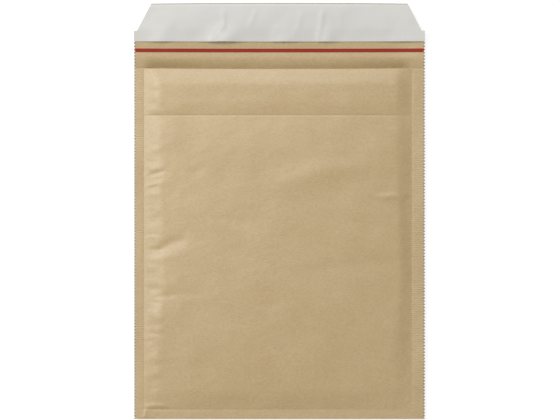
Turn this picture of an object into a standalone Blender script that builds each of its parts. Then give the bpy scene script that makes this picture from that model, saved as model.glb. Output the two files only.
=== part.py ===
"""Padded envelope: a kraft paper pouch with a bubble film lining, a tear tape and a gummed flap.

The envelope lies on its back, with its flap open. Seen from the front, +X is to the right and +Y
is towards the tip of the flap. +Z points away from the surface that it lies on. Lengths are metres.
"""

import math

import bmesh
import bpy
import numpy as np

# Plan
WIDTH = 0.280  # across the tips of the pinked side edges
POUCH_LENGTH = 0.337  # bottom fold to mouth
FLAP_LENGTH = 0.063  # mouth to the tip of the flap
LEFT_SEAM = 0.0092  # sealed side margins, from the tooth tips inwards
RIGHT_SEAM = 0.0128
FOOT_STRIP = 0.0090  # unpadded strip above the bottom fold
TOOTH_PITCH = 0.00306  # pinking along the side edges
TOOTH_DEPTH = 0.0012
FLAP_CUT = 0.0003  # plain edge of the flap's shoulder, inside the tooth tips
STEP_TO_TIP = 0.0271  # the step in the flap's sides, measured from its tip
STEP_IN = 0.0032  # foot and top of the flap's slanting sides, inside the tooth tips
CORNER_IN = 0.0166
TIP_BOW = 0.0008  # the flap's tip is this much further out in its middle

# Thickness of each ply
KRAFT = 0.0003
FILM_SEAM = 0.0004  # both films of the lining where they are welded flat
LINING_WALL = 0.0026  # bubble film, over its bubbles
TAPE = 0.0002
ADHESIVE = 0.0002
LINER = 0.0002
GAP = 0.0003  # between plies that touch

# Padded form
SEAM_LEVEL = 0.0042  # height of the seam's middle over the surface below
FRONT_RISE = 0.0092  # the front panel's highest point over the seam
LEFT_SHOULDER = 0.0185  # width over which the padding rises beside a seam
RIGHT_SHOULDER = 0.0151
FOOT_SHOULDER = 0.0160
SHOULDER_SHARE = 0.5  # part of the front's rise in its side shoulders; its crown has the rest
FOOT_SHARE = 0.35  # the same along the pouch
CROWN_Y = -0.041  # place of the highest point along the pouch
CROWN_REACH = 0.4000  # distance above its highest point at which the crown would run out
HEM = 0.0455  # front panel turned inwards at the mouth
HEM_DENT = 0.0012  # valley on the front panel over the edge of the hem
DENT_ABOVE = 0.0140
DENT_BELOW = 0.0030
LIP_DROP = 0.0019  # how far the front panel falls towards the mouth
LIP_REACH = 0.0180
FLAP_RISE = 0.0019  # height of the flap over the back panel, past the dip at the mouth
FLAP_DIP = 0.0100
FLAP_DROOP = 0.0015  # how far the flap's tip falls again

# Pieces on the flap
TAPE_ABOVE_MOUTH = 0.0171  # mouth to the middle of the tear tape
TAPE_WIDTH = 0.0036
LINER_WIDTH = 0.0375  # from the flap's tip to the lower edge of the release liner
ADHESIVE_WIDTH = 0.0280
ADHESIVE_TIP = 0.0050  # bare paper between the adhesive and the flap's tip
ADHESIVE_SIDE = 0.0200  # bare paper beside the adhesive, inside the tooth tips

# Facets
SHOULDER_STEPS = 4
FLAP_STEPS = 4
LIP_STEPS = 3
ROLL_STEPS = 6
PANEL_STEPS = 6
TRIM = 0.0030  # blank left outside the die, and the reach of a cutter past what it cuts

LENGTH = POUCH_LENGTH + FLAP_LENGTH
HALF_WIDTH = WIDTH / 2
FOOT_Y = -LENGTH / 2
MOUTH_Y = FOOT_Y + POUCH_LENGTH
TIP_Y = FOOT_Y + LENGTH
LEFT_X = LEFT_SEAM - HALF_WIDTH
RIGHT_X = HALF_WIDTH - RIGHT_SEAM
PAD_Y = FOOT_Y + FOOT_STRIP
HEM_Y = MOUTH_Y - HEM
LINER_Y = TIP_Y - LINER_WIDTH

PLY_STEP = KRAFT / 2 + GAP  # middle of a sheet of kraft to the face of the next ply
SEAM_STEP = PLY_STEP + FILM_SEAM / 2  # middle of the seam to the middle of either sheet of kraft
PAPER_LEVEL = KRAFT / 2
FRONT_TOP = SEAM_LEVEL + SEAM_STEP + FRONT_RISE
ROLL_RADIUS = (LINING_WALL - LIP_DROP + 2 * PLY_STEP) / 2
LINING_MOUTH_Y = MOUTH_Y - KRAFT / 2 - ROLL_RADIUS
FOLD_Y = FOOT_Y + KRAFT / 2 + SEAM_STEP


def mix(low, high, share):
    return low + (high - low) * share


def even(low, high, steps):
    """The ends and the even steps between two values."""
    return [mix(low, high, step / steps) for step in range(steps + 1)]


def swell(distance, reach):
    """Rises from 0 at a seam to 1 at full height, straight first and level at the end."""
    share = min(max(distance / reach, 0.0), 1.0)
    return (5 * share - share**5) / 4


def sides(x):
    """Rises from 0 in the side seams to 1 past their shoulders."""
    return swell(x - LEFT_X, LEFT_SHOULDER) * swell(RIGHT_X - x, RIGHT_SHOULDER)


def foot(y):
    """Rises from 0 at the strip above the bottom fold to 1 past its shoulder."""
    return swell(y - PAD_Y, FOOT_SHOULDER)


def padding(x, y):
    """How far the padding is open at a point of the plan: 0 in the seams, 1 past the shoulders."""
    return sides(x) * foot(y)


def arch(offset):
    """A parabola: 1 in its middle and 0 at an offset of 1 or more."""
    return max(0.0, 1 - offset**2)


def pillow(x, y):
    """Share of the front's rise: shoulders beside the seams and a crown between them."""
    across = (2 * x - LEFT_X - RIGHT_X) / (RIGHT_X - LEFT_X)
    along = (y - CROWN_Y) / (CROWN_Y - PAD_Y if y < CROWN_Y else CROWN_REACH)
    width_share = mix(arch(across), sides(x), SHOULDER_SHARE)
    return width_share * mix(arch(along), foot(y), FOOT_SHARE)


def dent(y):
    """Depth of the valley over the edge of the hem."""
    reach = DENT_ABOVE if y > HEM_Y else DENT_BELOW
    return HEM_DENT * max(0.0, 1 - abs(y - HEM_Y) / reach)


def lip(y):
    """How far the front panel has fallen towards the mouth."""
    return LIP_DROP * max(0.0, (y - MOUTH_Y + LIP_REACH) / LIP_REACH) ** 2


def back_level(x, y):
    """Middle of the back panel's paper."""
    return mix(SEAM_LEVEL - SEAM_STEP, PAPER_LEVEL, padding(x, y))


def open_front(x, y):
    """The front panel's paper before it is dented and turned."""
    return SEAM_LEVEL + SEAM_STEP + FRONT_RISE * pillow(x, y)


def front_level(x, y):
    """Middle of the front panel's paper."""
    return open_front(x, y) - (dent(y) + lip(y)) * padding(x, y)


def wall(x, y):
    """Thickness of either wall of the lining, which is one welded film in the seams."""
    return mix(FILM_SEAM / 2, LINING_WALL, padding(x, y))


def floor_level(x, y):
    """Inner face of the lining's back wall."""
    return back_level(x, y) + PLY_STEP + wall(x, y)


def roof_level(x, y):
    """Inner face of the lining's front wall."""
    return open_front(x, y) - PLY_STEP - wall(x, y)


def hem_level(x, y):
    """Middle of the hem's paper, which lies on the lining and runs level into the seams."""
    share = min(1.0, padding(x, y) / swell(1, SHOULDER_STEPS))
    return roof_level(x, y) - PLY_STEP * share


def flap_level(x, y):
    """Middle of the flap's paper, straight between its facets' rows."""
    return float(np.interp(y, FLAP_ROWS, [flap_shape(x, row) for row in FLAP_ROWS]))


def flap_shape(x, y):
    risen = swell(y - MOUTH_Y, FLAP_DIP) ** 2
    fallen = FLAP_DROOP * max(0.0, (y - LINER_Y) / LINER_WIDTH) ** 2
    return mix(back_level(x, MOUTH_Y), PAPER_LEVEL + FLAP_RISE, risen) - fallen


LEFT_COLUMNS = even(LEFT_X, LEFT_X + LEFT_SHOULDER, SHOULDER_STEPS)
RIGHT_COLUMNS = even(RIGHT_X - RIGHT_SHOULDER, RIGHT_X, SHOULDER_STEPS)
PAD_COLUMNS = (
    LEFT_COLUMNS[:-1] + even(LEFT_COLUMNS[-1], RIGHT_COLUMNS[0], PANEL_STEPS) + RIGHT_COLUMNS[1:]
)
BLANK_COLUMNS = [-HALF_WIDTH - TRIM] + PAD_COLUMNS + [HALF_WIDTH + TRIM]
FOOT_ROWS = even(PAD_Y, PAD_Y + FOOT_SHOULDER, SHOULDER_STEPS)
DENT_ROWS = [HEM_Y - DENT_BELOW, HEM_Y, mix(HEM_Y, HEM_Y + DENT_ABOVE, 0.5), HEM_Y + DENT_ABOVE]
LIP_ROWS = even(MOUTH_Y - LIP_REACH, LINING_MOUTH_Y, LIP_STEPS)[:-1]
CROWN_ROWS = even(FOOT_ROWS[-1], DENT_ROWS[0], PANEL_STEPS)[1:-1]
FRONT_ROWS = sorted(FOOT_ROWS + CROWN_ROWS + DENT_ROWS + LIP_ROWS)
FLAP_ROWS = even(MOUTH_Y, MOUTH_Y + FLAP_DIP, FLAP_STEPS) + even(LINER_Y, TIP_Y + TRIM, FLAP_STEPS)


def roll_centre(x):
    """Height of the middle of the turned mouth edge, its radius, and its place along the pouch."""
    place = LINING_MOUTH_Y
    top = front_level(x, place)
    radius = (top - hem_level(x, place)) / 2
    return top - radius, radius, MOUTH_Y - KRAFT / 2 - radius


def kraft_path():
    """One function of x for each row of the folded sheet, from the flap's tip to the hem's edge."""
    path = [lambda x, y=y: (y, flap_level(x, y)) for y in reversed(FLAP_ROWS)]
    path += [lambda x, y=y: (y, back_level(x, y)) for y in reversed(FOOT_ROWS)]
    for turn in even(-math.pi / 2, -3 * math.pi / 2, ROLL_STEPS):
        path.append(
            lambda x, turn=turn: (
                FOLD_Y + SEAM_STEP * math.cos(turn),
                SEAM_LEVEL + SEAM_STEP * math.sin(turn),
            )
        )
    path += [lambda x, y=y: (y, front_level(x, y)) for y in FRONT_ROWS]
    for turn in even(math.pi / 2, -math.pi / 2, ROLL_STEPS):

        def rolled(x, turn=turn):
            height, radius, place = roll_centre(x)
            return place + radius * math.cos(turn), height + radius * math.sin(turn)

        path.append(rolled)
    hem_rows = [row for row in FRONT_ROWS if row >= HEM_Y]
    path += [lambda x, y=y: (y, hem_level(x, y)) for y in reversed(hem_rows)]
    return path


def linear(hex_colour):
    """A six-digit sRGB hex colour as linear red, green and blue."""
    channels = [int(hex_colour[start : start + 2], 16) / 255 for start in (0, 2, 4)]
    return [c / 12.92 if c <= 0.04045 else ((c + 0.055) / 1.055) ** 2.4 for c in channels]


def material(name, colour, roughness, alpha=1.0):
    made = bpy.data.materials.new(name)
    made.use_nodes = True
    shader = made.node_tree.nodes["Principled BSDF"]
    shader.inputs["Base Color"].default_value = (*linear(colour), 1.0)
    shader.inputs["Roughness"].default_value = roughness
    shader.inputs["Metallic"].default_value = 0.0
    shader.inputs["Alpha"].default_value = alpha
    return made


def grid(columns, rows, place):
    """A grid of faces whose vertex in a column and a row goes to place(column, row)."""
    made = bmesh.new()
    bmesh.ops.create_grid(made, x_segments=len(columns) - 1, y_segments=len(rows) - 1, size=1.0)
    for vertex in made.verts:
        column = round((vertex.co.x + 1) / 2 * (len(columns) - 1))
        row = round((vertex.co.y + 1) / 2 * (len(rows) - 1))
        vertex.co = place(columns[column], rows[row])
    return made


def face_outwards(made):
    bmesh.ops.recalc_face_normals(made, faces=made.faces[:])
    if made.calc_volume(signed=True) < 0:
        bmesh.ops.reverse_faces(made, faces=made.faces[:])


def add_object(name, made, collection, finish=None):
    mesh = bpy.data.meshes.new(name)
    made.to_mesh(mesh)
    made.free()
    mesh.shade_smooth()
    added = bpy.data.objects.new(name, mesh)
    if finish:
        mesh.materials.append(finish)
    collection.objects.link(added)
    return added


def sheet(name, columns, rows, place, thickness, finish, collection):
    """A sheet of one thickness around the surface that place gives."""
    added = add_object(name, grid(columns, rows, place), collection, finish)
    solidify = added.modifiers.new("thickness", "SOLIDIFY")
    solidify.thickness = thickness
    solidify.offset = 0.0
    solidify.use_even_offset = True
    return added


def slab(name, columns, rows, low, high, collection, finish=None):
    """A closed solid between two levels. Where the levels meet, its edge is sharp."""
    made = grid(columns, rows, lambda x, y: (x, y, low(x, y)))
    top = bmesh.ops.extrude_face_region(made, geom=made.faces[:])["geom"]
    for vertex in (item for item in top if isinstance(item, bmesh.types.BMVert)):
        vertex.co.z = high(vertex.co.x, vertex.co.y)
    bmesh.ops.remove_doubles(made, verts=made.verts[:], dist=1e-6)
    bmesh.ops.dissolve_degenerate(made, edges=made.edges[:], dist=1e-6)
    face_outwards(made)
    return add_object(name, made, collection, finish)


def make_cutter(added):
    added.hide_render = True
    added.display_type = "WIRE"


def cut(target, cutter, operation):
    boolean = target.modifiers.new(cutter.name, "BOOLEAN")
    boolean.operation = operation
    boolean.solver = "EXACT"
    boolean.object = cutter


def die_outline():
    """Right half of the trimmed plan, from below the bottom fold up to the middle of the tip."""
    teeth = math.ceil((LINER_Y - FOOT_Y) / TOOTH_PITCH) + 1
    half = []
    for tooth in range(teeth, 0, -1):
        half.append((HALF_WIDTH - TOOTH_DEPTH, LINER_Y - tooth * TOOTH_PITCH))
        half.append((HALF_WIDTH, LINER_Y - (tooth - 0.5) * TOOTH_PITCH))
    half.append((HALF_WIDTH - TOOTH_DEPTH, LINER_Y))
    half.append((HALF_WIDTH - FLAP_CUT, LINER_Y))
    half.append((HALF_WIDTH - FLAP_CUT, TIP_Y - STEP_TO_TIP))
    half.append((HALF_WIDTH - STEP_IN, TIP_Y - STEP_TO_TIP))
    corner = HALF_WIDTH - CORNER_IN
    half += [(x, TIP_Y - TIP_BOW * (x / corner) ** 2) for x in even(corner, 0.0, FLAP_STEPS)]
    return half


def make_die(collection):
    """The steel rule die that trims every ply of the envelope to one outline."""
    half = die_outline()
    points = half + [(-x, y) for x, y in reversed(half[:-1])]
    curve = bpy.data.curves.new("die_outline", "CURVE")
    curve.dimensions = "2D"
    curve.fill_mode = "BOTH"
    curve.extrude = 2 * FRONT_TOP
    spline = curve.splines.new("POLY")
    spline.points.add(len(points) - 1)
    for point, (x, y) in zip(spline.points, points):
        point.co = (x, y, 0.0, 1.0)
    spline.use_cyclic_u = True
    outline = bpy.data.objects.new("die_outline", curve)
    collection.objects.link(outline)
    bpy.context.view_layer.update()
    mesh = bpy.data.meshes.new_from_object(
        outline.evaluated_get(bpy.context.evaluated_depsgraph_get())
    )
    welded = bmesh.new()
    welded.from_mesh(mesh)
    bmesh.ops.remove_doubles(welded, verts=welded.verts[:], dist=1e-6)
    face_outwards(welded)
    die = add_object("die", welded, collection)
    die.matrix_world = outline.matrix_world
    bpy.data.meshes.remove(mesh)
    bpy.data.objects.remove(outline)
    make_cutter(die)
    return die


def make_kraft_shell(die, collection):
    """One sheet of kraft: flap, back panel, bottom fold, front panel, turned mouth edge and hem."""
    finish = material("kraft_paper", "BFA982", 0.75)
    added = sheet(
        "kraft_shell",
        BLANK_COLUMNS,
        kraft_path(),
        lambda x, row: (x, *row(x)),
        KRAFT,
        finish,
        collection,
    )
    cut(added, die, "INTERSECT")


def make_bubble_lining(parts, cutters):
    """Bubble film folded round the pocket, its films welded flat in the side seams and the foot."""
    side = HALF_WIDTH - TOOTH_DEPTH - GAP
    columns = [-side] + PAD_COLUMNS + [side]
    inner_rows = [row for row in FRONT_ROWS if row < LINING_MOUTH_Y]
    added = slab(
        "bubble_lining",
        columns,
        [FOLD_Y] + inner_rows + [LINING_MOUTH_Y],
        lambda x, y: back_level(x, y) + PLY_STEP,
        lambda x, y: front_level(x, y) - PLY_STEP,
        parts,
        material("bubble_film", "DADFDE", 0.3, 0.6),
    )
    pocket = slab(
        "pocket",
        PAD_COLUMNS,
        inner_rows + [LINING_MOUTH_Y + TRIM],
        floor_level,
        roof_level,
        cutters,
    )
    make_cutter(pocket)
    cut(added, pocket, "DIFFERENCE")
    low = HEM_Y - GAP
    for name, inner, outer in (
        ("hem_room_left", LEFT_COLUMNS[1], -side - TRIM),
        ("hem_room_right", RIGHT_COLUMNS[-2], side + TRIM),
    ):
        room = bmesh.new()
        bmesh.ops.create_cube(room, size=1.0)
        for vertex in room.verts:
            vertex.co.x = inner if vertex.co.x < 0 else outer
            vertex.co.y = low if vertex.co.y < 0 else MOUTH_Y + TRIM
            vertex.co.z *= 4 * FRONT_TOP
        face_outwards(room)
        cutter = add_object(name, room, cutters)
        make_cutter(cutter)
        cut(added, cutter, "DIFFERENCE")


def make_flap_piece(name, columns, low, high, height, thickness, finish, collection):
    """A strip on the flap's inner face, its underside at this height over the paper's middle."""
    rows = [low] + [row for row in FLAP_ROWS if low < row < high] + [high]
    middle = height + thickness / 2
    return sheet(
        name,
        columns,
        rows,
        lambda x, y: (x, y, flap_level(x, y) + middle),
        thickness,
        finish,
        collection,
    )


def make_flap_pieces(die, collection):
    """The tear tape, the hot-melt adhesive and the release liner that covers it."""
    tape_y = MOUTH_Y + TAPE_ABOVE_MOUTH
    tape = make_flap_piece(
        "tear_tape",
        BLANK_COLUMNS,
        tape_y - TAPE_WIDTH / 2,
        tape_y + TAPE_WIDTH / 2,
        PLY_STEP,
        TAPE,
        material("tear_tape", "9A4033", 0.4),
        collection,
    )
    cut(tape, die, "INTERSECT")
    adhesive_x = HALF_WIDTH - ADHESIVE_SIDE
    adhesive_top = TIP_Y - ADHESIVE_TIP
    make_flap_piece(
        "adhesive_strip",
        even(-adhesive_x, adhesive_x, PANEL_STEPS),
        adhesive_top - ADHESIVE_WIDTH,
        adhesive_top,
        PLY_STEP,
        ADHESIVE,
        material("hot_melt_adhesive", "CDBB8A", 0.35),
        collection,
    )
    liner = make_flap_piece(
        "release_liner",
        BLANK_COLUMNS,
        LINER_Y,
        TIP_Y + TRIM,
        PLY_STEP + ADHESIVE + GAP,
        LINER,
        material("release_paper", "D5D3CE", 0.45),
        collection,
    )
    cut(liner, die, "INTERSECT")


def main():
    for old in list(bpy.data.objects):
        bpy.data.objects.remove(old)
    parts = bpy.data.collections.new("padded_envelope")
    cutters = bpy.data.collections.new("cutters")
    for collection in (parts, cutters):
        bpy.context.scene.collection.children.link(collection)
    die = make_die(cutters)
    make_kraft_shell(die, parts)
    make_bubble_lining(parts, cutters)
    make_flap_pieces(die, parts)
    bpy.context.view_layer.update()


main()
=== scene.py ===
"""Looks of the padded envelope, laid out as a Blender add-on and run as a script.

The envelope lies on its back with its flap open. Seen from the front, +X is to the right and +Y is
towards the tip of the flap. +Z points away from the surface that it lies on. Lengths are metres.
"""

import math

import bmesh
import bpy
import numpy as np
from bpy.props import FloatProperty, FloatVectorProperty, IntProperty, PointerProperty
from bpy.types import Operator, Panel, PropertyGroup
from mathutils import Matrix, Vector


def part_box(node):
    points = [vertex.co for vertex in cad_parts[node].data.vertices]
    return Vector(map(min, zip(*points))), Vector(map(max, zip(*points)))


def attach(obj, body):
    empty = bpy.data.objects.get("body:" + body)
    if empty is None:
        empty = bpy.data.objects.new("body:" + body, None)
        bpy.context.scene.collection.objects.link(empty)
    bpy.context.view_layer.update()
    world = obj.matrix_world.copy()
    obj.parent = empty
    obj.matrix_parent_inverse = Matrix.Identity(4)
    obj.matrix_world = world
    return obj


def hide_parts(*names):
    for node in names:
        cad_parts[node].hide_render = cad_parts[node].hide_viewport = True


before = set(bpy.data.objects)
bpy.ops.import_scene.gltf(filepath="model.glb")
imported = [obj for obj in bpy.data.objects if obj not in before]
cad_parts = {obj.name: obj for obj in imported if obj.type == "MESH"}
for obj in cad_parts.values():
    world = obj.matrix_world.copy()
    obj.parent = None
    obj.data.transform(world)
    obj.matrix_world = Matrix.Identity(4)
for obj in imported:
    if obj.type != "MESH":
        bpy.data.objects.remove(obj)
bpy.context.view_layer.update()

bl_info = {
    "name": "Padded envelope",
    "version": (1, 0, 0),
    "blender": (4, 5, 0),
    "location": "View3D > Sidebar > Envelope",
    "description": "Makes a kraft envelope with a bubble film lining and an open flap",
    "category": "Add Mesh",
}

MM = 0.001

# Places that the frame fixes
HALF_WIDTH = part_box("kraft_shell")[1][0]
FOOT_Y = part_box("kraft_shell")[0][1]
TIP_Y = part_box("kraft_shell")[1][1]
TAPE_FOOT_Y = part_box("tear_tape")[0][1]
TAPE_HEAD_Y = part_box("tear_tape")[1][1]
LINER_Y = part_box("release_liner")[0][1]
LINING_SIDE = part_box("bubble_lining")[1][0]
ADHESIVE_LOW, ADHESIVE_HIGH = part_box("adhesive_strip")

# Plies
KRAFT = 0.30 * MM
FILM = 0.10 * MM
WELDED_FILM = 0.40 * MM
TAPE = 0.16 * MM
ADHESIVE = 0.20 * MM
LINER = 0.12 * MM
GAP = 0.30 * MM
PLY_STEP = KRAFT / 2 + GAP  # middle of a sheet of kraft to the face of the next ply
SEAM_STEP = PLY_STEP + WELDED_FILM / 2
PAPER_LEVEL = KRAFT / 2
HAIR = 0.02 * MM  # between two rows where the outline jumps
SHARP_EDGE = math.radians(50)
BEAD_PITCH = 1.2 * MM  # of the adhesive's comb
LOWEST_BUBBLE = 4 * FILM
BUBBLE_VALUES = ("height", "stand_x", "stand_y", "stand_z")

# Waves in the paper: the longest, the shortest and how many are added up
WANDER_WAVES = (100 * MM, 25 * MM, 7)
MARGIN_WAVES = (120 * MM, 30 * MM, 5)
BROAD_WAVES = (85 * MM, 30 * MM, 14)
FINE_WAVES = (24 * MM, 11 * MM, 16)
CRUMPLE_WAVES = (19 * MM, 8 * MM, 12)
FLAP_WAVES = (60 * MM, 20 * MM, 8)
LINER_WAVES = (50 * MM, 12 * MM, 10)

# Places of the wrinkles in the front panel: both ends, height and half width, in millimetres
FRONT_WRINKLES = (
    (-128, -36.5, -113, -38.0, -0.75, 2.0),
    (-120, -38.0, -90, -26.0, -1.05, 5.0),
    (-131, -49.0, -96, -42.0, 0.35, 5.0),
    (-120, -83.0, -98, -80.5, -0.32, 2.6),
    (-118, -80.0, -72, -78.0, -0.30, 5.0),
    (-130, -87.0, -113, -88.5, -0.45, 1.8),
    (-129, -117.0, -112, -118.5, -0.32, 2.2),
    (-131, 31.5, -109, 39.0, -0.54, 1.7),
    (-131, 25.0, -111, 31.5, -0.50, 1.7),
    (-131, 18.0, -115, 25.0, -0.42, 1.6),
    (-130, -2.0, -119, 0.5, -0.30, 1.6),
    (-130, -24.0, -117, -21.5, -0.42, 1.8),
    (94, 13.0, 128, 15.0, 0.85, 3.2),
    (113, -50.0, 127, -57.0, 0.40, 3.0),
    (-8, 25.0, 90, 48.0, 1.00, 10.0),
    (-86, 34.0, -70, 43.0, -0.40, 4.5),
    (-64, -7.0, -27, -12.0, -0.35, 5.0),
    (8, -58.0, 118, -48.0, -0.40, 7.5),
    (-16, -92.0, 7, -86.0, -0.30, 4.0),
)
# The same for the front's pressed foot corner
CORNER_WRINKLES = (
    (-130.0, -200.0, -127.0, -189.0, 0.70, 1.3),
    (-128.0, -187.6, -108, -187.6, 0.85, 2.1),
    (-126.5, -190.3, -103, -190.6, -0.25, 1.3),
)
# The same for the release liner's soft folds
LINER_WRINKLES = (
    (-53.5, 194.0, -54, 174.0, 0.46, 2.8),
    (-53, 179.0, -67, 163.0, 0.46, 3.2),
    (-22, 194.0, -29, 176.0, 0.34, 2.6),
    (-1, 178.0, -8, 165.0, 0.16, 2.6),
    (22, 192.0, 15, 167.0, 0.22, 3.0),
    (42, 193.0, 37, 163.0, 0.48, 2.6),
    (59, 191.0, 59, 172.0, 0.14, 3.2),
    (-120, 190.0, -100, 178.0, 0.30, 8.0),
    (96, 196.0, 103, 170.0, 0.25, 8.0),
)
# Lifted stretches of the liner's lower edge: middle, half width and height, in millimetres
LINER_LIFTS = ((-113, 10, 1.7), (-54, 14, 3.4), (4, 13, 1.7), (46, 8, 1.8), (118, 20, 1.3))
# Small puckers in the flap under the tear tape: place, height and half width, in millimetres
FLAP_PUCKERS = ((-42, 153.4, 0.7, 2.0), (12, 153.4, 0.3, 1.8), (41, 153.4, 0.5, 1.8))


def linear(hex_colour):
    """A six-digit sRGB hex colour as linear red, green and blue."""
    channels = [int(hex_colour[start : start + 2], 16) / 255 for start in (0, 2, 4)]
    return tuple(c / 12.92 if c <= 0.04045 else ((c + 0.055) / 1.055) ** 2.4 for c in channels)


def length(name, description, default):
    return FloatProperty(name=name, description=description, default=default, unit="LENGTH", precision=5)


def factor(name, description, default):
    return FloatProperty(name=name, description=description, default=default, subtype="FACTOR", min=0, max=1)


def colour(name, description, hex_colour):
    return FloatVectorProperty(
        name=name, description=description, default=linear(hex_colour), subtype="COLOR", min=0, max=1
    )


class EnvelopeSizes(PropertyGroup):
    """Sizes of the folded sheet and its seams."""

    pouch: length("Pouch", "Bottom fold to mouth", 337 * MM)
    left_seam: length("Left seam", "Sealed margin at the left", 9.8 * MM)
    right_seam: length("Right seam", "Sealed margin at the right", 12.8 * MM)
    foot_strip: length("Foot strip", "Unpadded strip above the bottom fold", 9 * MM)
    seam_level: length("Seam level", "Height of the seams over the surface below", 4.2 * MM)
    front_rise: length("Front rise", "Highest point of the front over the seams", 9.2 * MM)
    left_shoulder: length("Left shoulder", "Width of the rise beside the left seam", 18.5 * MM)
    right_shoulder: length("Right shoulder", "Width of the rise beside the right seam", 15.1 * MM)
    foot_shoulder: length("Foot shoulder", "Length of the rise above the foot strip", 20 * MM)
    shoulder_share: factor("Shoulder share", "Part of the rise in the side shoulders", 0.36)
    mouth_share: factor("Mouth share", "The same at the mouth, which the hem stiffens", 0.50)
    foot_share: factor("Foot share", "Part of the rise in the foot's shoulder", 0.28)
    crown_y: length("Crown", "Place of the highest point along the pouch", -41 * MM)
    crown_reach: length("Crown reach", "Where the crown would run out above it", 400 * MM)
    wall: length("Padding", "Thickness of one wall of bubble film", 2.6 * MM)
    hem: length("Hem", "Front panel turned inwards at the mouth", 45.5 * MM)
    hem_dent: length("Hem dent", "Depth of the valley over the hem's edge", 1.4 * MM)
    dent_above: length("Dent above", "Reach of that valley towards the mouth", 14 * MM)
    dent_below: length("Dent below", "Reach of that valley towards the foot", 34 * MM)
    lip_drop: length("Lip drop", "Fall of the front panel to the mouth", 2.6 * MM)
    lip_reach: length("Lip reach", "Length over which it falls", 16.5 * MM)
    lip_edge: length("Lip edge", "Further fall within 4 mm of the mouth", 0.5 * MM)
    flap_rise: length("Flap rise", "Height of the flap past its dip", 2.15 * MM)
    flap_dip: length("Flap dip", "Length of the dip at the mouth", 11.5 * MM)
    flap_fold: length("Flap fold", "Rise of the flap between the tear tape and the liner", 1.1 * MM)
    liner_rise: length("Liner rise", "Further rise of the flap under the liner's lower part", 0.8 * MM)
    flap_droop: length("Flap droop", "Fall of the flap's tip", 2.2 * MM)
    flap_curl: length("Flap curl", "Rise of the flap's two ends at the seams", 3.4 * MM)
    corner_hollow: length("Corner hollow", "Depth of the back panel's hollows at the mouth's ends", 1.5 * MM)
    mouth_bow: length("Mouth bow", "How far the padding draws the mouth's edge in", 1.0 * MM)


class EnvelopeTrim(PropertyGroup):
    """Cut edges, bubbles and wrinkles."""

    tooth_pitch: length("Tooth pitch", "Pinking along the side edges", 3.06 * MM)
    tooth_depth: length("Tooth depth", "Depth of the pinking", 1.6 * MM)
    flap_cut: length("Flap cut", "Plain edge of the flap inside the tooth tips", 0.3 * MM)
    step_to_tip: length("Step to tip", "Step in the flap's sides, from its tip", 27.1 * MM)
    step_in: length("Step in", "Foot of the slanting sides inside the tooth tips", 3.2 * MM)
    corner_in: length("Corner in", "Top of the slanting sides inside the tooth tips", 16.6 * MM)
    tip_bow: length("Tip bow", "How far the tip's middle bows out", 0.8 * MM)
    bubble_width: length("Bubble width", "Diameter of an air bubble", 9.5 * MM)
    bubble_pitch: length("Bubble pitch", "Distance of two bubbles in a row", 11.2 * MM)
    wrinkles: FloatProperty(name="Wrinkles", description="Depth of all wrinkles", default=1.0, min=0)
    cockle: length("Cockle", "Height of the waves in the front panel", 0.22 * MM)
    crumple: length("Crumple", "Height of the short waves along the shoulders", 0.13 * MM)
    margin_wave: length("Margin wave", "Height of the waves along the sealed edges", 0.35 * MM)
    seed: IntProperty(name="Seed", description="Draw of the waves in the paper", default=7, min=0)


class EnvelopeColours(PropertyGroup):
    """Colours of the finishes."""

    kraft: colour("Kraft", "Ground of the kraft paper", "AE9466")
    kraft_light: colour("Pale fibre", "Pale fibres in the kraft paper", "BBA477")
    kraft_dark: colour("Dark fibre", "Dark fibres in the kraft paper", "9D8159")
    speck: colour("Specks", "Bark specks in the kraft paper", "7C5F3C")
    # Painted shade that darkens the tips of the pinked teeth and the flap's tip
    edge_shade_colour: colour("Cut edge", "Crushed tips of the pinked edges", "453D30")
    film: colour("Film", "Clear bubble film", "E6EAE9")
    tape: colour("Tear tape", "Red tear tape", "8F2A19")
    adhesive: colour("Adhesive", "Pale amber hot melt", "CDBB8A")
    liner: colour("Liner", "Pale grey release paper", "C7C5C0")


class EnvelopeStage(PropertyGroup):
    """Camera and light."""

    view_width: length("View width", "Width seen at the level of the seams", 538.3 * MM)
    view_x: length("View centre X", "Middle of the view across", 0.55 * MM)
    view_y: length("View centre Y", "Middle of the view along", 0.70 * MM)
    view_level: length("View level", "Height at which the view is measured", 4.2 * MM)
    view_distance: length("View distance", "Camera to the front panel", 2500 * MM)
    lamp_distance: length("Lamp distance", "Each soft box to the envelope", 3000 * MM)
    lamp_size: length("Lamp size", "Side of each soft box", 1000 * MM)
    side_share: factor("Side share", "Part of the light that comes from the left", 0.40)
    side_lean: FloatVectorProperty(
        name="Side lean", description="Lean of that light across and along", size=2, default=(-0.72, 0.26)
    )
    top_share: factor("Top share", "Part of the light that comes from behind the flap", 0.28)
    top_lean: FloatVectorProperty(
        name="Top lean", description="Lean of that light across and along", size=2, default=(-0.05, 0.66)
    )


GROUPS = {
    "envelope_sizes": EnvelopeSizes,
    "envelope_trim": EnvelopeTrim,
    "envelope_colours": EnvelopeColours,
    "envelope_stage": EnvelopeStage,
}


# Shape of the folded sheet


def mix(low, high, share):
    return low + (high - low) * share


def even(low, high, step):
    """Values from low to high, evenly spaced and at most this step apart."""
    count = max(1, math.ceil((high - low) / step))
    return [mix(low, high, place / count) for place in range(count + 1)]


def swell(distance, reach):
    """Rises from 0 at a seam to 1 at full height, straight first and level at the end."""
    share = np.clip(distance / reach, 0.0, 1.0)
    return (5 * share - share**5) / 4


def smooth(value, low, high):
    """An S-shaped step from 0 at low to 1 at high."""
    share = np.clip((value - low) / (high - low), 0.0, 1.0)
    return share * share * (3 - 2 * share)


def shoulder(distance, reach):
    """Rises beside a seam: a swell whose start the pressed seam holds down a little."""
    held_down = 0.6
    return mix(swell(distance, reach), smooth(distance, 0.0, reach), held_down)


def hump(distance, width):
    """A bell-shaped rise of 1 at distance 0, which is all but spent at twice the width."""
    return np.exp(-((distance / width) ** 2))


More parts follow.
